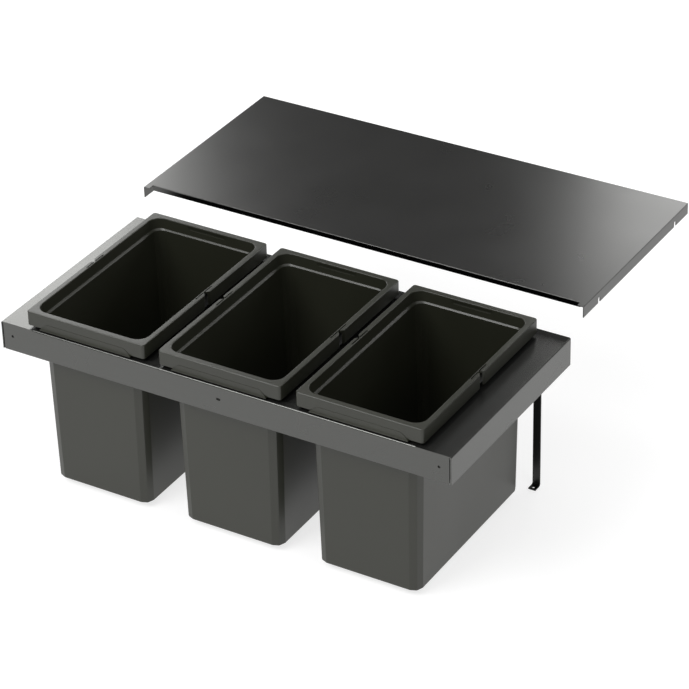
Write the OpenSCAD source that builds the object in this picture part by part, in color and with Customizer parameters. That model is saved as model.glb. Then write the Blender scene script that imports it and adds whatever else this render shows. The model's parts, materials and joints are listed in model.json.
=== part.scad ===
// Three-bin pull-out waste sorting unit for a wide base cabinet.
// A folded steel frame carries three lift-out bins, and a steel cover plate hangs behind
// and above it, at the place that it keeps in the cabinet while the drawer is pulled out.
// +X is to the right, +Y is to the back of the cabinet, +Z is up.
// The origin is the middle screw hole, on the outer side of the front face.

/* [Bins] */
// Width of a bin over its rim
bin_w = 233; // [180:1:300]
// Depth of a bin over its rim, front to back
bin_d = 382; // [300:1:480]
// Height of a bin, from the top of its rim to its underside
bin_h = 330; // [240:1:420]
// Wall thickness of a bin
bin_wall = 2.5; // [1.8:0.1:4]
// Amount that each side wall leans in over the full height
side_draft = 6; // [2:0.5:12]
// Amount that the front and back walls lean in over the full height
end_draft = 4; // [2:0.5:12]
// Vertical corner radius of a bin's body
body_r = 16; // [8:1:26]
// Edge rounding around the underside
floor_edge = 4; // [1:0.5:8]
// Corner radius of the inside above the shoulder
mouth_r = 24; // [12:1:34]

/* [Rims] */
// Height of the rim's top above the frame
rim_rise = 32; // [30:1:46]
// Overhang of the rim past the side walls
rim_over_side = 16.5; // [12:0.5:24]
// Overhang of the rim past the front and back walls
rim_over_end = 13; // [12:0.5:20]
// Width of the flat rim top along the sides
rim_side_w = 6; // [5:0.5:9]
// Width of the flat rim top along the front and back
rim_end_w = 11; // [8:0.5:12]
// Thickness of the rim top
rim_t = 3; // [2:0.5:5]
// Outer corner radius of the rim
rim_r = 9; // [4:0.5:14]
// Height of the skirt that hangs from the rim
skirt_h = 26; // [18:1:29]
// Thickness of the skirt
skirt_t = 2.5; // [1.5:0.1:4]
// Depth of the flared collar inside the rim
collar_h = 19; // [12:1:24]
// Width of the shoulder under the collar
shoulder_w = 2.5; // [1:0.5:4]
// Distance from a bin's corner to its supporting lip
lip_inset = 20; // [14:1:50]
// Width of the clip notch halfway along each side
clip_w = 9; // [6:0.5:14]
// Length of the small pocket on each side of a clip notch
pocket_len = 12; // [8:0.5:20]
// Width of that pocket
pocket_w = 1.8; // [1:0.1:2.4]

/* [Frame] */
// Gap between the rims of two neighbouring bins
bin_gap = 27; // [20:1:50]
// Top surface outside the outermost rims
side_margin = 51.5; // [36:0.5:90]
// Top surface in front of the rims
front_margin = 4; // [2:0.5:20]
// Top surface behind the rims
rear_margin = 18; // [12:0.5:40]
// Height of the frame
frame_h = 52; // [44:1:80]
// Thickness of the frame's sheet
sheet_t = 2; // [1.2:0.1:2.5]
// Inside radius of the folds
fold_r = 1; // [0.5:0.1:2]
// Visible gap at the corner seams
seam = 2; // [0.5:0.1:4]
// Height of the folded edge along the windows
hem_h = 12; // [8:0.5:18]
// Gap between a bin's side walls and the steel beside them
side_clear = 4.5; // [2:0.1:6]
// Gap between a bin's end walls and the rails in front and behind
end_clear = 3.5; // [2:0.1:6]
// Height of the side walls of a crossbar
crossbar_h = 18; // [12:1:30]

/* [Fastening] */
// Distance of the outer front holes from the frame's sides
front_hole_inset = 22; // [14:0.5:40]
// Depth of the front holes below the frame's top
front_hole_drop = 24; // [20:0.5:40]
// Diameter of the outer front holes
front_hole_d = 5; // [4:0.1:6]
// Length of the middle slot
front_slot_len = 8; // [7:0.5:14]
// Width of the middle slot
front_slot_w = 4.5; // [3.5:0.1:6]
// Length of a corner gusset's arms
gusset_arm = 28; // [18:1:40]
// Height of a corner gusset
gusset_h = 34; // [20:1:36]

/* [Legs] */
// Distance of a leg's middle from the frame's side
leg_inset = 58.5; // [50:0.5:90]
// Width of a leg
leg_w = 14; // [12:0.5:24]
// Thickness of a leg
leg_t = 2; // [1.5:0.1:3]
// Inside radius of a leg's bend
leg_bend_r = 3; // [1:0.5:5]
// Gap between the bins' undersides and the surface that the feet stand on
foot_gap = 10; // [8:1:60]
// Length of a foot, from the leg's back face
foot_l = 18; // [16:0.5:30]
// Diameter of the foot's screw hole
foot_hole_d = 5; // [4:0.1:6]
// Diameter of the screws that hold a leg
leg_screw_d = 5; // [4:0.1:6]
// Distance between the two screws of a leg
leg_screw_pitch = 22; // [16:1:28]
// Diameter of the screw heads
screw_head_d = 9.5; // [8:0.1:11]
// Height of the screw heads
screw_head_h = 2.6; // [2:0.1:4]
// Width across the flats of the nuts
nut_flats = 8; // [8:0.1:12]
// Thickness of the nuts
nut_t = 4; // [3:0.1:5]

/* [Cover plate] */
// Amount that the cover is wider than the frame, at each side
cover_over = 5; // [0:0.5:10]
// Depth of the cover, front to back
cover_d = 388; // [320:1:480]
// Thickness of the cover's sheet
cover_t = 1.5; // [1:0.1:2]
// Clear height between the bins' rims and the cover's front lip
cover_clear = 2; // [1:0.5:20]
// Height of the front lip
cover_lip_h = 8; // [5:0.5:14]
// Height of the side flanges
cover_flange_h = 21; // [19:0.5:30]
// Pull-out travel that separates the cover from the frame
pull_out = 450; // [440:1:600]
// Forward reach of the corner ears
ear_l = 11; // [4:0.5:18]
// Width of the corner ears
ear_w = 12; // [8:0.5:24]
// Distance of the front pin notches from the cover's front
front_notch = 46; // [30:1:120]
// Distance of the rear pin notches from the cover's back
rear_notch = 51; // [30:1:120]
// Width of the pin notches
pin_notch_w = 7; // [5:0.5:10]
// Height of the pin notches
pin_notch_h = 10; // [8:0.5:12]

/* [Hidden] */
round_fn = 48;
hull_fn = 32;
skin = 0.01;
cut = 1;
run_clear = 0.05;
// Screws in the legs: clearance of their holes and length past the nuts
screw_clear = 0.4;
screw_end = 2;
flange_gap = 0.5;
rim_edge = 1;
recess_w = 1.2;
recess_l = 5;
recess_depth = 1.4;
steel = "#4a4b49";
plastic = "#3c3d38";
zinc = "#9a9b98";

bin_pitch = bin_w + bin_gap;
frame_w = 2 * side_margin + 2 * bin_pitch + bin_w;
frame_d = front_margin + bin_d + rear_margin;
half_w = frame_w / 2;
top_z = front_hole_drop;
under_z = top_z - sheet_t;
rim_z = top_z + rim_rise;
bin_y = front_margin + bin_d / 2;
foot_z = rim_z - bin_h - foot_gap;
lip_h = rim_rise - skirt_h;
// How far the walls lean in at the level of the frame's top
side_lean = side_draft * rim_rise / bin_h;
end_lean = end_draft * rim_rise / bin_h;
side_flange = side_margin + rim_over_side + side_lean - side_clear;
front_flange = front_margin + rim_over_end + end_lean - end_clear;
rear_flange = rear_margin + rim_over_end + end_lean - end_clear;
crossbar_w = bin_gap + 2 * (rim_over_side + side_lean - side_clear);
screw_mid_z = top_z - frame_h / 2;
nut_y = frame_d - sheet_t - leg_t - nut_t;
shank_l = sheet_t + leg_t + nut_t + screw_end;
cover_w = frame_w + 2 * cover_over;
cover_z = rim_z + cover_clear + cover_lip_h;

// A block right of and below the origin, with its corner at the origin rounded
module corner_block(w, h, r) {
    translate([r, -h]) square([w - r, h]);
    translate([0, -h]) square([w, h - r]);
    translate([r, -r]) circle(r, $fn = round_fn);
}

// Section of a folded sheet: one arm to the right of the origin, the other below it
module folded_section(arm, drop, t, r) {
    difference() {
        corner_block(arm, drop, r + t);
        translate([t, -t]) corner_block(arm, drop, r);
    }
}

// Extrudes a section drawn in X and Z from the front to the back
module run_back(len) {
    translate([0, len, 0]) rotate([90, 0, 0]) linear_extrude(len) children();
}

// Extrudes a section drawn in Y and Z to the right, from x
module run_right(x, len) {
    translate([x, 0, 0]) rotate([90, 0, 90]) linear_extrude(len) children();
}

// Side rail: outer face, wide top flange and a folded edge along the window
module side_rail() {
    window_d = frame_d - front_flange - rear_flange;
    color(steel) {
        run_back(frame_d) translate([-half_w, top_z])
            folded_section(side_flange, frame_h, sheet_t, fold_r);
        translate([-half_w + side_flange - sheet_t, front_flange, top_z - hem_h])
            cube([sheet_t, window_d, hem_h - sheet_t / 2]);
    }
}

module left_rail() {
    side_rail();
}

module right_rail() {
    mirror([1, 0, 0]) side_rail();
}

// Rail between the side rails, its flange cut back where theirs lie on top
module cross_rail(flange) {
    rail_half = half_w - sheet_t - seam;
    flange_half = half_w - side_flange - flange_gap;
    difference() {
        run_right(-rail_half, 2 * rail_half)
            translate([0, top_z]) folded_section(flange, frame_h, sheet_t, fold_r);
        for (side = [-1, 1])
            translate([side * (flange_half + half_w / 2), 0, top_z])
                cube([half_w, 4 * flange, 2 * (sheet_t + fold_r)], center = true);
    }
    // The face under the side flanges reaches up to their undersides
    for (side = [0, 1])
        mirror([side, 0, 0])
            translate([-rail_half, 0, under_z - fold_r])
                cube([rail_half - flange_half, sheet_t, fold_r]);
}

module front_rail() {
    color(steel) difference() {
        cross_rail(front_flange);
        for (side = [-1, 1])
            translate([side * (half_w - front_hole_inset), sheet_t + cut, 0]) rotate([90, 0, 0])
                cylinder(h = sheet_t + 2 * cut, d = front_hole_d, $fn = round_fn);
        translate([0, sheet_t + cut, 0]) rotate([90, 0, 0])
            linear_extrude(sheet_t + 2 * cut) slot_shape(front_slot_len, front_slot_w);
    }
}

// Slot along X with round ends
module slot_shape(len, w) {
    square([len - w, w], center = true);
    for (side = [-1, 1])
        translate([side * (len - w) / 2, 0]) circle(d = w, $fn = round_fn);
}

module rear_rail() {
    color(steel) difference() {
        translate([0, frame_d, 0]) mirror([0, 1, 0]) cross_rail(rear_flange);
        leg_screw_places() bore(leg_screw_d + screw_clear, frame_d - sheet_t, sheet_t);
    }
}

// Hole along Y through a sheet that starts at y
module bore(d, y, t) {
    translate([0, y + t + cut, 0]) rotate([90, 0, 0])
        cylinder(h = t + 2 * cut, d = d, $fn = round_fn);
}

// Crossbar: a channel with its open side down, under the flanges of the front and rear rails
module crossbar(x) {
    start = sheet_t + fold_r;
    color(steel) translate([x, start, 0]) run_back(frame_d - 2 * start)
        translate([0, under_z]) difference() {
            for (side = [0, 1])
                mirror([side, 0]) translate([-crossbar_w / 2, 0])
                    corner_block(crossbar_w / 2, crossbar_h, fold_r + sheet_t);
            translate([-crossbar_w / 2 + sheet_t, -crossbar_h - cut])
                square([crossbar_w - 2 * sheet_t, crossbar_h + cut - sheet_t]);
        }
}

module left_crossbar() {
    crossbar(-bin_pitch / 2);
}

module right_crossbar() {
    crossbar(bin_pitch / 2);
}

// Welded angle inside the front left corner
module gusset() {
    color(steel) translate([-half_w + sheet_t, sheet_t, screw_mid_z - gusset_h / 2])
        linear_extrude(gusset_h) mirror([0, 1])
            folded_section(gusset_arm, gusset_arm, sheet_t, fold_r);
}

// Moves a front piece to the same place at the back
module to_back() {
    translate([0, frame_d, 0]) mirror([0, 1, 0]) children();
}

module front_left_gusset() {
    gusset();
}

module front_right_gusset() {
    mirror([1, 0, 0]) gusset();
}

module rear_left_gusset() {
    to_back() gusset();
}

module rear_right_gusset() {
    mirror([1, 0, 0]) to_back() gusset();
}

// Strap from the rear rail down to a foot that points forward
module leg(side) {
    x = side * (half_w - leg_inset);
    leg_top = under_z - fold_r;
    color(steel) difference() {
        run_right(x - leg_w / 2, leg_w) translate([frame_d - sheet_t, foot_z]) rotate(180)
            folded_section(foot_l, leg_top - foot_z, leg_t, leg_bend_r);
        translate([x, frame_d - sheet_t - (foot_l + leg_t + leg_bend_r) / 2, foot_z - cut])
            cylinder(h = leg_t + 2 * cut, d = foot_hole_d, $fn = round_fn);
        leg_screw_places() bore(leg_screw_d + screw_clear, frame_d - sheet_t - leg_t, leg_t);
    }
}

module left_leg() {
    leg(-1);
}

module right_leg() {
    leg(1);
}

// The four places where screws hold the legs to the rear rail, at y = 0
module leg_screw_places() {
    for (side = [-1, 1], step = [-1, 1])
        translate([side * (half_w - leg_inset), 0, screw_mid_z + step * leg_screw_pitch / 2])
            children();
}

module leg_screws() {
    color(zinc) leg_screw_places() difference() {
        union() {
            translate([0, frame_d + screw_head_h, 0]) rotate([90, 0, 0])
                cylinder(h = screw_head_h, d = screw_head_d, $fn = round_fn);
            translate([0, frame_d + skin, 0]) rotate([90, 0, 0])
                cylinder(h = shank_l + skin, d = leg_screw_d, $fn = round_fn);
        }
        for (turn = [0, 90])
            translate([0, frame_d + screw_head_h, 0]) rotate([0, turn, 0])
                cube([recess_l, 2 * recess_depth, recess_w], center = true);
    }
}

module leg_nuts() {
    color(zinc) leg_screw_places() translate([0, nut_y + nut_t, 0]) rotate([90, 0, 0])
        difference() {
            cylinder(h = nut_t, d = nut_flats / cos(30), $fn = 6);
            translate([0, 0, -cut])
                cylinder(h = nut_t + 2 * cut, d = leg_screw_d + 2 * run_clear, $fn = round_fn);
        }
}

// Four thin corner discs of a rounded rectangle, a given depth below the rim's top
module level(w, d, r, depth) {
    for (sx = [-1, 1], sy = [-1, 1])
        translate([sx * (w / 2 - r), sy * (d / 2 - r), -depth])
            cylinder(h = skin, r = r, $fn = hull_fn);
}

// Rounded rectangle inset from the body's outside at a depth below the rim's top
module body_level(depth, inset, r) {
    level(bin_w - 2 * (rim_over_side + inset + side_draft * depth / bin_h),
        bin_d - 2 * (rim_over_end + inset + end_draft * depth / bin_h), r, depth);
}

module rim_level(depth, inset) {
    level(bin_w - 2 * inset, bin_d - 2 * inset, rim_r - inset, depth);
}

// Rectangle about the origin with rounded corners
module rounded_rect(w, d, r) {
    square([w - 2 * r, d], center = true);
    square([w, d - 2 * r], center = true);
    for (sx = [-1, 1], sy = [-1, 1])
        translate([sx * (w / 2 - r), sy * (d / 2 - r)]) circle(r, $fn = round_fn);
}

// Outside of the flared collar, a wall's thickness around the mouth
module collar_outside() {
    hull() {
        level(bin_w - 2 * (rim_side_w - bin_wall), bin_d - 2 * (rim_end_w - bin_wall),
            mouth_r + bin_wall, rim_t / 2);
        body_level(collar_h + bin_wall, 0, body_r);
    }
}

// Inside of the collar, narrowing down to the shoulder
module collar_inside() {
    hull() {
        level(bin_w - 2 * rim_side_w, bin_d - 2 * rim_end_w, mouth_r, -cut);
        body_level(collar_h, bin_wall - shoulder_w, body_r);
    }
}

// Lip under the skirt that stands on a rail of the frame
module support_lip() {
    half = bin_w / 2 - lip_inset;
    translate([0, -bin_d / 2 + skirt_t, -skirt_h]) rotate([90, 0, 0]) linear_extrude(skirt_t)
        polygon([[-half, skin], [half, skin], [half - lip_h, -lip_h], [-half + lip_h, -lip_h]]);
}

// Notch through the skirt, with a pocket in the rim on each side of it
module clip_notch() {
    notch_depth = rim_side_w - pocket_w;
    translate([bin_w / 2 - notch_depth, -clip_w / 2, -skirt_h - cut])
        cube([notch_depth + cut, clip_w, skirt_h + 2 * cut]);
    for (side = [-1, 1])
        translate([bin_w / 2 - notch_depth, side * (clip_w / 2 + rim_t + pocket_len / 2)
            - pocket_len / 2, -rim_t - cut])
            cube([pocket_w, pocket_len, rim_t + 2 * cut]);
}

module bin(x) {
    color(plastic) translate([x, bin_y, rim_z]) difference() {
        union() {
            difference() {
                hull() {
                    rim_level(skin, rim_edge);
                    rim_level(rim_edge, 0);
                    rim_level(skirt_h, 0);
                }
                translate([0, 0, -skirt_h - cut]) linear_extrude(skirt_h + cut - rim_t)
                    rounded_rect(bin_w - 2 * skirt_t, bin_d - 2 * skirt_t, rim_r - skirt_t);
            }
            collar_outside();
            hull() {
                body_level(collar_h, 0, body_r);
                body_level(bin_h - floor_edge, 0, body_r);
                body_level(bin_h, floor_edge, body_r - floor_edge);
            }
            support_lip();
            mirror([0, 1, 0]) support_lip();
        }
        collar_inside();
        hull() {
            body_level(collar_h - skin, bin_wall, body_r - bin_wall);
            body_level(bin_h - bin_wall, bin_wall, body_r - bin_wall);
        }
        clip_notch();
        mirror([1, 0, 0]) clip_notch();
    }
}

module left_bin() {
    bin(-bin_pitch);
}

module middle_bin() {
    bin(0);
}

module right_bin() {
    bin(bin_pitch);
}

// Cover plate: flat top, short front lip, side flanges with ears and open pin notches
module cover_plate() {
    half = cover_w / 2;
    notches = [pull_out + front_notch, pull_out + cover_d - rear_notch];
    color(steel) difference() {
        union() {
            translate([-half + ear_w, pull_out, cover_z - cover_t])
                cube([cover_w - 2 * ear_w, cover_d, cover_t]);
            translate([-half + ear_w, pull_out, cover_z - cover_lip_h])
                cube([cover_w - 2 * ear_w, cover_t, cover_lip_h]);
            for (side = [0, 1])
                mirror([side, 0, 0]) translate([0, pull_out - ear_l, 0])
                    run_back(cover_d + ear_l) translate([-half, cover_z])
                        folded_section(ear_w + skin, cover_flange_h, cover_t, fold_r);
        }
        for (y = notches)
            translate([-half - cut, y, cover_z - cover_flange_h]) rotate([90, 0, 90])
                linear_extrude(cover_w + 2 * cut) {
                    translate([-pin_notch_w / 2, -cut])
                        square([pin_notch_w, pin_notch_h - pin_notch_w / 2 + cut]);
                    translate([0, pin_notch_h - pin_notch_w / 2])
                        circle(d = pin_notch_w, $fn = round_fn);
                }
    }
}

left_rail();
right_rail();
front_rail();
rear_rail();
left_crossbar();
right_crossbar();
front_left_gusset();
front_right_gusset();
rear_left_gusset();
rear_right_gusset();
left_leg();
right_leg();
leg_screws();
leg_nuts();
left_bin();
middle_bin();
right_bin();
cover_plate();
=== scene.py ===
# A pull-out waste sorting unit: three plastic bins in a folded steel frame, and its cover plate
import json
import math

import bmesh
import bpy
from mathutils import Matrix, Vector


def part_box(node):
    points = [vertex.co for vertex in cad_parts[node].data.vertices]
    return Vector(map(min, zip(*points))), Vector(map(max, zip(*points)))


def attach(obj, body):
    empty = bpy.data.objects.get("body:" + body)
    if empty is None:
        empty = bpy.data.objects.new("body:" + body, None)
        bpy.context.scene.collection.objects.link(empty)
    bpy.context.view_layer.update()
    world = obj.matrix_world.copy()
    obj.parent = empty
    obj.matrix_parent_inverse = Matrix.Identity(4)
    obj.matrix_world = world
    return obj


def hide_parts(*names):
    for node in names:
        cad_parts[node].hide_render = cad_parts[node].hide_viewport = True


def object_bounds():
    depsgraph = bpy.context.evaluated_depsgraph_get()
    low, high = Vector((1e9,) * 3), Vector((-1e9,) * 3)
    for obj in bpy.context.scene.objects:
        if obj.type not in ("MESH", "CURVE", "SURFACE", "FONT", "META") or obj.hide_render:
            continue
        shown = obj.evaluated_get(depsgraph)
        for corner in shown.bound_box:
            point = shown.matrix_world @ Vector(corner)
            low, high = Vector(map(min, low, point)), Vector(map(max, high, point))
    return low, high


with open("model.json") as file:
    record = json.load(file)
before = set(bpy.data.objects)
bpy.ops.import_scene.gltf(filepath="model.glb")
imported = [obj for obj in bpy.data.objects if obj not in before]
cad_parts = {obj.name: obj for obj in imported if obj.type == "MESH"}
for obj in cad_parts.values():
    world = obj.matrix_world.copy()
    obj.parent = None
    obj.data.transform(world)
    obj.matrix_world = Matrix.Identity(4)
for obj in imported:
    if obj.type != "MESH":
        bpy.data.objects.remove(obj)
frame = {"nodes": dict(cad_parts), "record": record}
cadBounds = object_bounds()

mm = 0.001
smoothAngle = 35           # in degrees, edges sharper than this stay crisp
mergeDistance = 0.00001
nodes = frame["nodes"]
print("frame loaded:", len(nodes), "nodes")


def deselectAll():
    if bpy.context.object and bpy.context.object.mode != "OBJECT":
        bpy.ops.object.mode_set(mode="OBJECT")
    bpy.ops.object.select_all(action="DESELECT")


def makeActive(obj):
    deselectAll()
    obj.select_set(True)
    bpy.context.view_layer.objects.active = obj


def startMesh(name):
    # a plane opened for editing and emptied, so that every part of the shape is added in edit mode
    deselectAll()
    bpy.ops.mesh.primitive_plane_add(size=1)
    obj = bpy.context.object
    obj.name = name
    obj.data.name = name
    bpy.ops.object.mode_set(mode="EDIT")
    bpy.ops.mesh.select_mode(type="VERT")
    bpy.ops.mesh.select_all(action="SELECT")
    bpy.ops.mesh.delete(type="VERT")
    return obj


def selectVerts(obj, test):
    # selects the vertices that pass the test, and the edges and faces between them
    bpy.ops.mesh.select_mode(type="VERT")
    mesh = bmesh.from_edit_mesh(obj.data)
    for vert in mesh.verts:
        vert.select_set(bool(test(vert.co)))
    mesh.select_flush(True)
    mesh.select_flush(False)
    bmesh.update_edit_mesh(obj.data)


def selectEdges(obj, test):
    bpy.ops.mesh.select_mode(type="EDGE")
    mesh = bmesh.from_edit_mesh(obj.data)
    for edge in mesh.edges:
        edge.select_set(bool(test(edge.verts[0].co, edge.verts[1].co)))
    bmesh.update_edit_mesh(obj.data)


def finishMesh(obj):
    # merges doubles, turns the faces outwards and applies the object's place
    bpy.ops.object.mode_set(mode="EDIT")
    bpy.ops.mesh.select_mode(type="VERT")
    bpy.ops.mesh.select_all(action="SELECT")
    bpy.ops.mesh.remove_doubles(threshold=mergeDistance)
    bpy.ops.mesh.normals_make_consistent(inside=False)
    bpy.ops.object.mode_set(mode="OBJECT")
    makeActive(obj)
    bpy.ops.object.transform_apply(location=True, rotation=True, scale=True)
    bpy.ops.object.shade_smooth_by_angle(angle=math.radians(smoothAngle))
    return obj


def cutAway(obj, cutter):
    makeActive(obj)
    cut = obj.modifiers.new("cut", "BOOLEAN")
    cut.operation = "DIFFERENCE"
    cut.solver = "EXACT"
    cut.object = cutter
    bpy.ops.object.modifier_apply(modifier=cut.name)
    bpy.data.objects.remove(cutter, do_unlink=True)


def soften(obj, width, steps, angle=smoothAngle):
    # rounds the edges sharper than the angle, the width in millimetres
    makeActive(obj)
    bevel = obj.modifiers.new("soften", "BEVEL")
    bevel.width = width * mm
    bevel.segments = steps
    bevel.limit_method = "ANGLE"
    bevel.angle_limit = math.radians(angle)
    bpy.ops.object.modifier_apply(modifier=bevel.name)
    bpy.ops.object.shade_smooth_by_angle(angle=math.radians(angle))


def keepFlat(obj):
    # large faces stay flat beside their small rounded edges
    makeActive(obj)
    flat = obj.modifiers.new("keepFlat", "WEIGHTED_NORMAL")
    flat.keep_sharp = True
    bpy.ops.object.modifier_apply(modifier=flat.name)


def joinInto(obj, *others):
    makeActive(obj)
    for other in others:
        other.select_set(True)
    bpy.ops.object.join()
    return obj


def copyOf(obj, name, shift):
    twin = obj.copy()
    twin.data = obj.data.copy()
    twin.name = name
    twin.data.name = name
    bpy.context.scene.collection.objects.link(twin)
    twin.data.transform(Matrix.Translation(shift))
    return twin


def makeBlock(name, corners, start, end, axis, rounding=0.0, steps=3, roundTest=None):
    # a flat outline pushed out into a block: corners in millimetres in the plane across the axis
    block = startMesh(name)
    mesh = bmesh.from_edit_mesh(block.data)
    toPoint = {
        "x": lambda u, v: (start, u, v),
        "y": lambda u, v: (u, start, v),
        "z": lambda u, v: (u, v, start),
    }[axis]
    outline = [mesh.verts.new(Vector(toPoint(u, v)) * mm) for u, v in corners]
    for vert in outline:
        vert.select_set(True)
    bmesh.update_edit_mesh(block.data)
    bpy.ops.mesh.edge_face_add()
    if rounding:
        bpy.ops.mesh.select_mode(type="VERT")
        if roundTest:
            selectVerts(block, roundTest)
        bpy.ops.mesh.bevel(offset=rounding * mm, segments=steps, affect="VERTICES")
    push = Vector({"x": (1, 0, 0), "y": (0, 1, 0), "z": (0, 0, 1)}[axis]) * (end - start) * mm
    bpy.ops.mesh.select_mode(type="FACE")
    bpy.ops.mesh.select_all(action="SELECT")
    bpy.ops.mesh.extrude_region_move(TRANSFORM_OT_translate={"value": push})
    return finishMesh(block)


def setFinish(obj, finish):
    obj.data.materials.clear()
    obj.data.materials.append(finish)


def newFinish(name):
    finish = bpy.data.materials.new(name)
    finish.use_nodes = True
    tree = finish.node_tree
    shader = tree.nodes["Principled BSDF"]
    coords = tree.nodes.new("ShaderNodeTexCoord")
    return finish, tree, shader, coords


def addNoise(tree, coords, scale, detail, stretch=None):
    noise = tree.nodes.new("ShaderNodeTexNoise")
    noise.inputs["Scale"].default_value = scale
    noise.inputs["Detail"].default_value = detail
    if stretch:
        mapping = tree.nodes.new("ShaderNodeMapping")
        mapping.inputs["Scale"].default_value = stretch
        tree.links.new(coords.outputs["Object"], mapping.inputs["Vector"])
        tree.links.new(mapping.outputs["Vector"], noise.inputs["Vector"])
    else:
        tree.links.new(coords.outputs["Object"], noise.inputs["Vector"])
    return noise.outputs["Fac"]


def addRamp(tree, source, low, high, lowValue, highValue):
    ramp = tree.nodes.new("ShaderNodeMapRange")
    ramp.inputs["From Min"].default_value = low
    ramp.inputs["From Max"].default_value = high
    ramp.inputs["To Min"].default_value = lowValue
    ramp.inputs["To Max"].default_value = highValue
    tree.links.new(source, ramp.inputs["Value"])
    return ramp.outputs["Result"]


def addColour(tree, shader, source, low, high, look):
    # base colour that runs from the look's dark to its light as the source goes from low to high
    ramp = tree.nodes.new("ShaderNodeValToRGB")
    ramp.color_ramp.elements[0].position = low
    ramp.color_ramp.elements[0].color = (*look["dark"], 1)
    ramp.color_ramp.elements[1].position = high
    ramp.color_ramp.elements[1].color = (*look["light"], 1)
    tree.links.new(source, ramp.inputs["Fac"])
    tree.links.new(ramp.outputs["Color"], shader.inputs["Base Color"])


def addRoughness(tree, shader, source, low, high, look):
    rough = addRamp(tree, source, low, high, *look["rough"])
    tree.links.new(rough, shader.inputs["Roughness"])


def addBump(tree, shader, *heights):
    # chains bumps, each given as height socket, strength and distance
    last = None
    for height, strength, distance in heights:
        bump = tree.nodes.new("ShaderNodeBump")
        bump.inputs["Strength"].default_value = strength
        bump.inputs["Distance"].default_value = distance
        tree.links.new(height, bump.inputs["Height"])
        if last:
            tree.links.new(last, bump.inputs["Normal"])
        last = bump.outputs["Normal"]
    tree.links.new(last, shader.inputs["Normal"])


# in each look a noise is given as scale and detail, a bump as strength and distance,
# and a range as the part of the noise that counts
coatLook = {
    "frame": {"dark": (0.101, 0.102, 0.098), "light": (0.110, 0.111, 0.106), "rough": (0.25, 0.28)},
    "cover": {"dark": (0.089, 0.089, 0.087), "light": (0.096, 0.096, 0.093), "rough": (0.27, 0.30)},
    # the legs' coat is a darker copy of the frame coat, painted shade for the shadow under the frame
    "leg": {"dark": (0.026, 0.026, 0.025), "light": (0.036, 0.036, 0.034), "rough": (0.30, 0.34)},
    "metallic": 0.9,
    "grain": (1500, 3),
    "grainRange": (0.35, 0.65),
    "grainBump": (0.03, 0.00008),
    "peel": (260, 2),
    "peelBump": (0.015, 0.0002),
    "cloud": (9, 3),
    "cloudRange": (0.3, 0.7),
}


def coatedSteel(name, look):
    # satin coat on steel: fine metallic grain, a faint orange peel and slow changes of gloss
    finish, tree, shader, coords = newFinish(name)
    grain = addNoise(tree, coords, *coatLook["grain"])
    peel = addNoise(tree, coords, *coatLook["peel"])
    cloud = addNoise(tree, coords, *coatLook["cloud"])
    addColour(tree, shader, grain, *coatLook["grainRange"], look)
    addRoughness(tree, shader, cloud, *coatLook["cloudRange"], look)
    shader.inputs["Metallic"].default_value = coatLook["metallic"]
    addBump(tree, shader, (grain, *coatLook["grainBump"]), (peel, *coatLook["peelBump"]))
    return finish


# painted shade on the cover's front lip, darkening it to black, in metres in from the cover's edges
lipShadeLook = {
    "back": 0.0127,
    "top": 0.0014,
    "fadeStart": 0.014,   # from the left
    "fadeEnd": 0.075,
    "endRight": 0.012,
    "edge": 0.0002,       # the width over which its other edges blend
    "share": 0.03,        # how much of the coat's colour stays
}


def paintLipShade(finish):
    # painted shade: the cover's front lip is darkened to black, the shade fading out into the coat near
    # its left end
    tree = finish.node_tree
    shader = tree.nodes["Principled BSDF"]
    coat = shader.inputs["Base Color"].links[0].from_socket
    low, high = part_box("cover_plate")
    coords = tree.nodes.new("ShaderNodeTexCoord")
    split = tree.nodes.new("ShaderNodeSeparateXYZ")
    tree.links.new(coords.outputs["Object"], split.inputs["Vector"])

    def fade(axis, start, end, startValue, endValue):
        return addRamp(tree, split.outputs[axis], start, end, startValue, endValue)

    back, top, right = low.y + lipShadeLook["back"], high.z - lipShadeLook["top"], high.x - lipShadeLook["endRight"]
    mask = fade("Y", back, back + lipShadeLook["edge"], 1, 0)
    for other in (fade("Z", top, top + lipShadeLook["edge"], 1, 0),
                  fade("X", low.x + lipShadeLook["fadeStart"], low.x + lipShadeLook["fadeEnd"], 0, 1),
                  fade("X", right, right + lipShadeLook["edge"], 1, 0)):
        times = tree.nodes.new("ShaderNodeMath")
        times.operation = "MULTIPLY"
        tree.links.new(mask, times.inputs[0])
        tree.links.new(other, times.inputs[1])
        mask = times.outputs["Value"]
    shade = tree.nodes.new("ShaderNodeVectorMath")
    shade.operation = "SCALE"
    tree.links.new(coat, shade.inputs[0])
    tree.links.new(addRamp(tree, mask, 0, 1, 1, lipShadeLook["share"]), shade.inputs["Scale"])
    tree.links.new(shade.outputs["Vector"], shader.inputs["Base Color"])


plasticLook = {
    "dark": (0.0180, 0.0189, 0.0122),
    "light": (0.0226, 0.0237, 0.0155),
    "rough": (0.34, 0.42),
    "specular": 0.55,
    "grain": (1100, 4),
    "grainBump": (0.16, 0.00015),
    "flow": (5, 3),
    "flowStretch": (1, 1, 0.3),
    "colourRange": (0.35, 0.68),
    "glossRange": (0.3, 0.7),
}


def mouldedPlastic(name):
    # moulded plastic with a fine eroded grain, flow variation and slightly polished patches
    look = plasticLook
    finish, tree, shader, coords = newFinish(name)
    grain = addNoise(tree, coords, *look["grain"])
    flow = addNoise(tree, coords, *look["flow"], stretch=look["flowStretch"])
    addColour(tree, shader, flow, *look["colourRange"], look)
    addRoughness(tree, shader, flow, *look["glossRange"], look)
    shader.inputs["Specular IOR Level"].default_value = look["specular"]
    addBump(tree, shader, (grain, *look["grainBump"]))
    return finish


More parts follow.
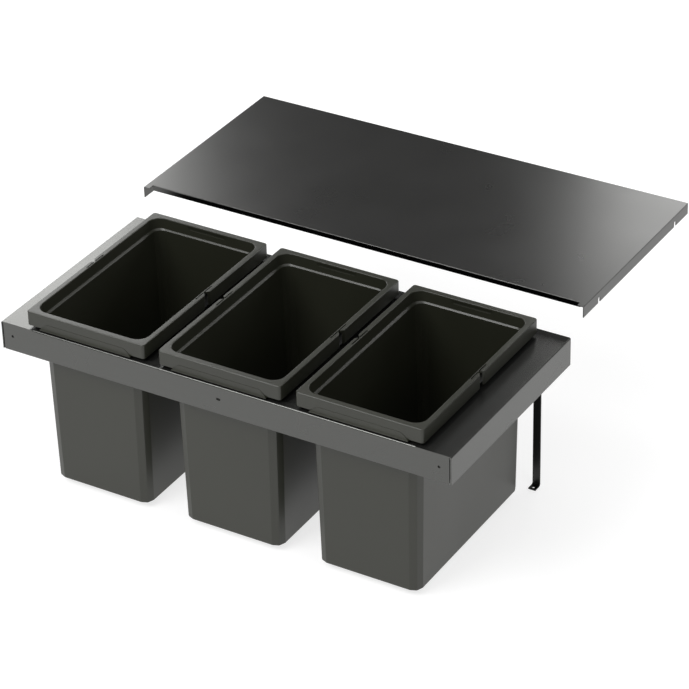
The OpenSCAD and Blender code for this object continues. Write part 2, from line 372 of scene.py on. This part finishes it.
zincLook = {
    "dark": (0.42, 0.42, 0.40),
    "light": (0.62, 0.62, 0.60),
    "rough": (0.25, 0.42),
    "metallic": 1.0,
    "marks": (900, 3),
    "marksBump": (0.15, 0.0001),
    "patches": (160, 2),
    "patchRange": (0.3, 0.7),
}


def zincPlating(name):
    # bright zinc with fine turning marks and dull patches
    look = zincLook
    finish, tree, shader, coords = newFinish(name)
    marks = addNoise(tree, coords, *look["marks"])
    patches = addNoise(tree, coords, *look["patches"])
    addColour(tree, shader, patches, *look["patchRange"], look)
    addRoughness(tree, shader, patches, *look["patchRange"], look)
    shader.inputs["Metallic"].default_value = look["metallic"]
    addBump(tree, shader, (marks, *look["marksBump"]))
    return finish


frameFinish = coatedSteel("satin frame coat", coatLook["frame"])
coverFinish = coatedSteel("satin cover coat", coatLook["cover"])
# painted shade on the cover's front lip
paintLipShade(coverFinish)
shadedLegFinish = coatedSteel("leg coat darkened as painted shade", coatLook["leg"])
binFinish = mouldedPlastic("olive black plastic")
zincFinish = zincPlating("zinc plating")
finishOf = {
    "frame_steel": frameFinish,
    "cover_steel": coverFinish,
    "bin_plastic": binFinish,
    "zinc_steel": zincFinish,
}
for part in frame["record"]["subparts"]:
    setFinish(nodes[part["node"]], finishOf[part["material_slot"]])
# the legs get the darkened coat, painted shade, in place of the frame coat
for name in ("left_leg", "right_leg"):
    setFinish(nodes[name], shadedLegFinish)
print("finishes made")


# sizes in millimetres, heights given as depths below the rim
bins = {
    "height": 330.0,
    "wall": 2.5,
    "sideOverhang": 16.5,   # rim past the side walls, at the top
    "endOverhang": 13.0,    # rim past the front and back walls
    "sideDraft": 6.0,
    "endDraft": 4.0,
    "cornerSteps": 8,
    "wallRows": 6,          # how many rows at each end of the list have flats at their corners
    "flats": 2,             # flats at such a corner, and steps in their softening
    "facetRounding": 1.0,
    "smoothAngle": 32,
    # the flared support lips
    "lipTop": 16.0,
    "lipBottom": 28.4,
    "lipTopInset": 40.0,
    "lipBottomInset": 25.0,
    "lipSheet": 2.6,
    "lipRounding": 2.5,
    "lipEdge": (0.5, 2),    # rounding of its edges, as width and steps
    "lipBend": 24.2,
    # how far the lip's face reaches outward, between two depths
    "lipFlares": [(0.45, 15.0, 19.0), (0.9, 23.5, 25.0), (3.2, 25.2, 29.0)],
    # the rib behind each lip
    "ribTop": 22.0,
    "ribBottom": 32.0,
    "ribChamfer": 0.8,
    "ribInset": 8.0,        # how much shorter than the lip at each end
    "ribSpan": (3.6, 6.0),  # in from the rim's edge
    # the clip notches' outline, as insets from the rim's edge and half widths
    "clipOutline": [(6.2, 2.4), (4.6, 3.0), (2.8, 4.3), (1.3, 6.1), (0.3, 8.4), (-0.4, 9.6), (-4.0, 9.6)],
    "clipDepth": 31.0,
    "clipRise": 5.0,        # how far its cutter stands above the rim
    # the narrow slots beside the clip notches
    "pocketInset": 7.8,
    "pocketWidth": 2.1,
    "pocketStart": 1.0,
    "pocketLength": 25.0,
    "pocketDepth": 7.0,
    "pocketRise": 2.0,
    "pocketRounding": 0.5,
    # the finger grip in the rear collar
    "gripWidth": 78.0,
    "gripSlope": 4.0,
    "gripTop": 3.6,
    "gripBottom": 9.4,
    "gripStart": 18.0,
    "gripReach": 10.5,
    "gripRounding": 1.2,
}

low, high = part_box("middle_bin")
binWidth, binDepth = (high.x - low.x) / mm, (high.y - low.y) / mm
wall = bins["wall"]


def bodyRow(depth, inset, radius):
    # a row of the loft that follows the walls, its inset counted from their outside
    share = depth / bins["height"]
    return (depth, bins["sideOverhang"] + bins["sideDraft"] * share + inset,
            bins["endOverhang"] + bins["endDraft"] * share + inset, radius)


# from the inside of the floor over the rim to the outside of the floor, each row as
# depth, side and end insets from the rim's edge, and corner radius
binRows = [
    bodyRow(327.5, wall + 3.2, 10.5),
    bodyRow(327.1, wall + 1.4, 12.2),
    bodyRow(326.0, wall + 0.3, 13.2),
    bodyRow(324.0, wall, 13.5),
    bodyRow(170.0, wall, 14.5),
    bodyRow(60.0, wall, 15.6),
    (21.4, 16.5, 15.7, 16.2),
    (20.6, 15.8, 15.0, 16.8),
    (19.2, 14.0, 13.9, 18.4),
    (18.4, 12.7, 13.3, 19.4),
    (1.5, 10.1, 11.4, 21.6),
    (0.6, 9.7, 11.0, 22.0),
    (0.15, 9.2, 10.5, 22.5),
    (0.0, 8.6, 9.9, 23.1),
    (0.01, 1.35, 1.35, 4.25),
    (0.25, 0.9, 0.9, 4.7),
    (0.9, 0.25, 0.25, 5.35),
    (1.4, 0.0, 0.0, 5.6),
    (25.3, 0.0, 0.0, 5.6),
    (25.8, 0.25, 0.25, 5.35),
    (26.0, 0.8, 0.8, 4.8),
    (25.9, 1.9, 1.9, 3.7),
    (25.2, 2.4, 2.4, 3.2),
    (3.4, 2.5, 2.5, 3.1),
    (3.0, 3.0, 3.6, 5.0),
    (4.2, 7.4, 7.2, 17.0),
    (12.6, 9.0, 8.4, 18.0),
    (17.0, 9.8, 10.2, 18.6),
    (24.0, 14.4, 12.9, 18.2),
    bodyRow(62.0, 0.0, 18.0),
    bodyRow(172.0, 0.0, 17.0),
    bodyRow(326.6, 0.0, 16.0),
    bodyRow(328.8, 0.5, 15.4),
    bodyRow(329.7, 1.6, 14.4),
    bodyRow(330.0, 3.0, 13.0),
]
rowTolerance = 0.004   # less than half the smallest gap between two rows' depths


def onRow(row):
    # every row has a depth of its own, so the depth is enough to find it
    return lambda co: abs(co.z / mm + row[0]) < rowTolerance


def addRow(row):
    depth, side, end, radius = row
    centre = (0, 0, -depth * mm)
    bpy.ops.mesh.primitive_plane_add(size=mm, location=centre)
    bpy.ops.transform.resize(value=(binWidth - 2 * side, binDepth - 2 * end, 1), center_override=centre)
    corners = [(radius, bins["cornerSteps"])]
    if row in binRows[:bins["wallRows"]] or row in binRows[-bins["wallRows"]:]:
        corners = [(radius, bins["flats"]), (bins["facetRounding"], bins["flats"])]
    for size, steps in corners:
        bpy.ops.mesh.bevel(offset=size * mm, segments=steps, profile=0.5, affect="VERTICES")
    bpy.ops.mesh.delete(type="ONLY_FACE")


def bridgeRows(obj, first, second):
    onFirst, onSecond = onRow(first), onRow(second)
    selectVerts(obj, lambda co: onFirst(co) or onSecond(co))
    bpy.ops.mesh.bridge_edge_loops()


def makeBinShell():
    shell = startMesh("binShell")
    for row in binRows:
        addRow(row)
    for first, second in zip(binRows, binRows[1:]):
        bridgeRows(shell, first, second)
    for row in (binRows[0], binRows[-1]):
        selectVerts(shell, onRow(row))
        bpy.ops.mesh.edge_face_add()
    return finishMesh(shell)


def trapezoid(topHalf, top, bottomHalf, bottom):
    # a centred outline across the bin, from its half widths at two depths
    return [(-topHalf, -top), (topHalf, -top), (bottomHalf, -bottom), (-bottomHalf, -bottom)]


def clipCutter(side):
    # cuts the outer part of the rim and the skirt, with rounded shoulders
    edge = binWidth / 2
    near = [(edge - inset, -half) for inset, half in bins["clipOutline"]]
    far = [(edge - inset, half) for inset, half in reversed(bins["clipOutline"])]
    corners = [(side * x, y) for x, y in near + far]
    return makeBlock("clipCutter", corners, -bins["clipDepth"], bins["clipRise"], "z")


def pocketCutter(side, end):
    # a narrow slot in the rim beside the clip notch, open to the notch
    inner = binWidth / 2 - bins["pocketInset"]
    outer = inner + bins["pocketWidth"]
    near, far = bins["pocketStart"], bins["pocketLength"]
    corners = [(side * inner, end * near), (side * outer, end * near),
               (side * outer, end * far), (side * inner, end * far)]
    return makeBlock("pocketCutter", corners, -bins["pocketDepth"], bins["pocketRise"], "z",
                     rounding=bins["pocketRounding"])


def gripCutter():
    # shallow finger grip in the rear collar, wider at its top
    half = bins["gripWidth"] / 2
    outline = trapezoid(half, bins["gripTop"], half - bins["gripSlope"], bins["gripBottom"])
    return makeBlock("gripCutter", outline, binDepth / 2 - bins["gripStart"],
                     binDepth / 2 - bins["gripReach"], "y", rounding=bins["gripRounding"])


def endSpan(end, outer, inner):
    # where a strip lies from front to back, given as insets from the rim's front or rear edge
    face = binDepth / 2
    return (-face + outer, -face + inner) if end < 0 else (face - inner, face - outer)


def supportLip(end):
    # flared strip under the front or rear skirt, and the rib behind it that stands on the rail
    half = binWidth / 2
    outline = trapezoid(half - bins["lipTopInset"], bins["lipTop"],
                        half - bins["lipBottomInset"], bins["lipBottom"])
    strip = makeBlock("supportLip", outline, *endSpan(end, 0, bins["lipSheet"]), "y",
                      rounding=bins["lipRounding"])
    bpy.ops.object.mode_set(mode="EDIT")
    bpy.ops.mesh.select_mode(type="VERT")
    bpy.ops.mesh.select_all(action="SELECT")
    bpy.ops.mesh.bisect(plane_co=(0, 0, -bins["lipBend"] * mm), plane_no=(0, 0, 1))
    middle = binDepth / 2 - bins["lipSheet"] / 2
    for reach, upper, lower in bins["lipFlares"]:
        selectVerts(strip, lambda co: co.y * end / mm > middle and upper < -co.z / mm < lower)
        bpy.ops.transform.translate(value=(0, end * reach * mm, 0))
    finishMesh(strip)
    soften(strip, *bins["lipEdge"])
    ribHalf = half - bins["lipBottomInset"] - bins["ribInset"]
    top, bottom, chamfer = bins["ribTop"], bins["ribBottom"], bins["ribChamfer"]
    rib = [(-ribHalf, -top), (ribHalf, -top), (ribHalf, -bottom + chamfer), (ribHalf - chamfer, -bottom),
           (-ribHalf + chamfer, -bottom), (-ribHalf, -bottom + chamfer)]
    return joinInto(strip, makeBlock("restRib", rib, *endSpan(end, *bins["ribSpan"]), "y"))


binModel = makeBinShell()
for side in (-1, 1):
    cutAway(binModel, clipCutter(side))
    for end in (-1, 1):
        cutAway(binModel, pocketCutter(side, end))
cutAway(binModel, gripCutter())
joinInto(binModel, supportLip(-1), supportLip(1))
makeActive(binModel)
bpy.ops.object.shade_smooth_by_angle(angle=math.radians(bins["smoothAngle"]))
keepFlat(binModel)
setFinish(binModel, binFinish)

for place in ("left", "middle", "right"):
    low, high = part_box(place + "_bin")
    centre = Vector(((low.x + high.x) / 2, (low.y + high.y) / 2, high.z))
    shell = copyOf(binModel, place + "BinShell", centre)
    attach(shell, place + "_bin")
    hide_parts(place + "_bin")
bpy.data.objects.remove(binModel, do_unlink=True)
print("bins made")


# sizes in millimetres
cover = {
    "sheet": 1.5,
    "foldRadius": 1.3,
    "foldSteps": 5,
    "lipHeight": 9.8,
    "flangeHeight": 21.0,
    "earLength": 11.0,
    "earWidth": 12.0,
    "edgeRounding": (0.35, 2),   # width and steps
    "edgeAngle": 50,
    "notchWidth": 7.0,
    "notchHeight": 10.0,
    "notchSteps": 8,
    "notchSlack": 0.05,   # keeps the two rounded corners of a notch from meeting
    "frontNotch": 46.0,   # from the lip and from the back edge to the middle of a notch
    "rearNotch": 51.0,
    "cutPast": 4.0,       # how far the notch cutter stands out of the flanges
}


def notchCutter(half, y, bottom):
    # round-topped slot right across both flanges
    past, rounding = cover["cutPast"], cover["notchWidth"] / 2
    front, back = y / mm - rounding, y / mm + rounding
    base = bottom / mm
    top = base + cover["notchHeight"]
    corners = [(front, base - past), (back, base - past), (back, top), (front, top)]
    return makeBlock("notchCutter", corners, -half / mm - past, half / mm + past, "x",
                     rounding=rounding - cover["notchSlack"], steps=cover["notchSteps"],
                     roundTest=lambda co: co.z / mm > base)


def makeCover():
    low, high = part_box("cover_plate")
    ear = cover["earLength"] * mm
    front, back, top, half = low.y + ear, high.y, high.z, high.x
    earEdge = half - cover["earWidth"] * mm
    near = 0.0002   # in metres, how close to a line or plane counts as on it
    centre = (0, (front + back) / 2, top)
    deselectAll()
    bpy.ops.mesh.primitive_plane_add(size=1, location=centre)
    plate = bpy.context.object
    plate.name = "coverPlate"
    plate.data.name = "coverPlate"
    bpy.ops.object.mode_set(mode="EDIT")
    bpy.ops.transform.resize(value=(2 * half, back - front, 1), center_override=centre)
    bpy.ops.object.mode_set(mode="OBJECT")
    bpy.ops.object.transform_apply(location=True, rotation=True, scale=True)
    bpy.ops.object.mode_set(mode="EDIT")
    for x in (-earEdge, earEdge):
        bpy.ops.mesh.select_all(action="SELECT")
        bpy.ops.mesh.bisect(plane_co=(x, 0, top), plane_no=(1, 0, 0))

    def onTop(a, b):
        return min(a.z, b.z) > top - near

    def onFront(a, b):
        return onTop(a, b) and max(abs(a.y - front), abs(b.y - front)) < near

    def onLip(a, b):
        return onFront(a, b) and max(abs(a.x), abs(b.x)) < earEdge + near

    def onSide(a, b, sign):
        return onTop(a, b) and min(a.x * sign, b.x * sign) > half - near

    def pushOut(test, shift):
        selectEdges(plate, test)
        bpy.ops.mesh.extrude_region_move(TRANSFORM_OT_translate={"value": shift})

    # the ears, the front lip and the side flanges
    for sign in (-1, 1):
        pushOut(lambda a, b: onFront(a, b) and min(a.x * sign, b.x * sign) > earEdge - near, (0, -ear, 0))
    pushOut(onLip, (0, 0, -cover["lipHeight"] * mm))
    for sign in (-1, 1):
        pushOut(lambda a, b: onSide(a, b, sign), (0, 0, -cover["flangeHeight"] * mm))
    # the folds along the lip and the flanges
    selectEdges(plate, lambda a, b: onLip(a, b) or onSide(a, b, -1) or onSide(a, b, 1))
    bpy.ops.mesh.bevel(offset=cover["foldRadius"] * mm, segments=cover["foldSteps"], profile=0.5,
                       affect="EDGES")
    bpy.ops.mesh.select_all(action="SELECT")
    bpy.ops.mesh.normals_make_consistent(inside=False)
    mesh = bmesh.from_edit_mesh(plate.data)
    flat = [face for face in mesh.faces if abs(face.calc_center_median().z - top) < near]
    if flat and flat[0].normal.z < 0:
        bpy.ops.mesh.flip_normals()
    bpy.ops.object.mode_set(mode="OBJECT")
    sheet = plate.modifiers.new("sheet", "SOLIDIFY")
    sheet.thickness = cover["sheet"] * mm
    sheet.offset = -1
    sheet.use_even_offset = True
    bpy.ops.object.modifier_apply(modifier=sheet.name)
    for y in (front + cover["frontNotch"] * mm, back - cover["rearNotch"] * mm):
        cutAway(plate, notchCutter(half, y, top - cover["flangeHeight"] * mm))
    soften(plate, *cover["edgeRounding"], cover["edgeAngle"])
    keepFlat(plate)
    return plate


coverPlate = makeCover()
setFinish(coverPlate, coverFinish)
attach(coverPlate, "cover")
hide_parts("cover_plate")
print("cover made")


# metres, and a card's glow in watts per square metre
cards = {
    "overhead": {"place": (-0.3, -0.5, 3.3), "aim": (0.0, 0.4, 0.0), "size": (4.4, 4.4), "glow": 3.6},
    "leftCard": {"place": (-2.23, 2.0, 1.28), "aim": (-0.9, 0.2, 0.1), "size": (1.2, 1.24), "glow": 15.2},
    "rightCard": {"place": (0.36, 2.2, 0.77), "aim": (0.3, 0.6, 0.1), "size": (1.5, 0.84), "glow": 12.6},
    "frontCard": {"place": (-1.15, -2.2, 2.75), "aim": (0.1, 0.0, 0.0), "size": (2.2, 1.7), "glow": 22.4},
    "fillCard": {"place": (2.6, -0.5, 1.9), "aim": (0.0, 0.0, 0.0), "size": (1.6, 1.6), "glow": 6.0},
}
studio = {
    "world": 0.13,
    "floorSize": 60,
    "floorMiddle": (0, 0.2),
    "floorGap": 0.0005,   # below the feet
    "dark": (0.34, 0.34, 0.34),
    "light": (0.36, 0.36, 0.36),
    "cloud": (1.5, 2),
    "cloudRange": (0.3, 0.7),
    "floorRough": 0.9,
    "floorSpecular": 0.1,
    "floorGlow": 0.75,
}


def addCard(name, card):
    light = bpy.data.lights.new(name, "AREA")
    light.shape = "RECTANGLE"
    light.size, light.size_y = card["size"]
    light.energy = card["glow"] * card["size"][0] * card["size"][1]
    lamp = bpy.data.objects.new(name, light)
    bpy.context.scene.collection.objects.link(lamp)
    lamp.location = card["place"]
    aim = Vector(card["aim"]) - Vector(card["place"])
    lamp.rotation_euler = aim.to_track_quat("-Z", "Y").to_euler()
    lamp.visible_camera = False


def paleFloor(name):
    # matt and nearly white, with a slight glow of its own
    finish, tree, shader, coords = newFinish(name)
    cloud = addNoise(tree, coords, *studio["cloud"])
    addColour(tree, shader, cloud, *studio["cloudRange"], studio)
    shader.inputs["Emission Color"].default_value = (1, 1, 1, 1)
    shader.inputs["Emission Strength"].default_value = studio["floorGlow"]
    shader.inputs["Roughness"].default_value = studio["floorRough"]
    shader.inputs["Specular IOR Level"].default_value = studio["floorSpecular"]
    return finish


for name, card in cards.items():
    addCard(name, card)

deselectAll()
floorHeight = cadBounds[0][2] - studio["floorGap"]
bpy.ops.mesh.primitive_plane_add(size=studio["floorSize"], location=(*studio["floorMiddle"], floorHeight))
studioFloor = bpy.context.object
studioFloor.name = "studioFloor"
setFinish(studioFloor, paleFloor("pale floor"))

world = bpy.data.worlds.new("studioWorld")
world.use_nodes = True
world.node_tree.nodes["Background"].inputs["Color"].default_value = (1, 1, 1, 1)
world.node_tree.nodes["Background"].inputs["Strength"].default_value = studio["world"]
bpy.context.scene.world = world
bpy.context.scene.view_settings.view_transform = "Standard"
print("studio made")


# metres, degrees, and millimetres for the lens and its sensor
cameraLook = {
    "place": (2.3596, -3.4751, 2.6671),
    "azimuth": 31.378,
    "elevation": 31.490,
    "roll": -1.482,
    "lens": 161.63,
    "sensor": 36,
    "sight": 60,
}


def addCamera():
    azimuth, elevation, roll = (math.radians(cameraLook[k]) for k in ("azimuth", "elevation", "roll"))
    forward = Vector((-math.sin(azimuth) * math.cos(elevation),
                      math.cos(azimuth) * math.cos(elevation),
                      -math.sin(elevation)))
    level = forward.cross(Vector((0, 0, 1))).normalized()
    rise = level.cross(forward)
    right = math.cos(roll) * level + math.sin(roll) * rise
    up = -math.sin(roll) * level + math.cos(roll) * rise
    data = bpy.data.cameras.new("studioCamera")
    data.lens = cameraLook["lens"]
    data.sensor_width = cameraLook["sensor"]
    data.clip_end = cameraLook["sight"]
    camera = bpy.data.objects.new("studioCamera", data)
    bpy.context.scene.collection.objects.link(camera)
    turn = Matrix((right, up, -forward)).transposed().to_4x4()
    camera.matrix_world = Matrix.Translation(cameraLook["place"]) @ turn
    bpy.context.scene.camera = camera


addCamera()
print("camera placed")
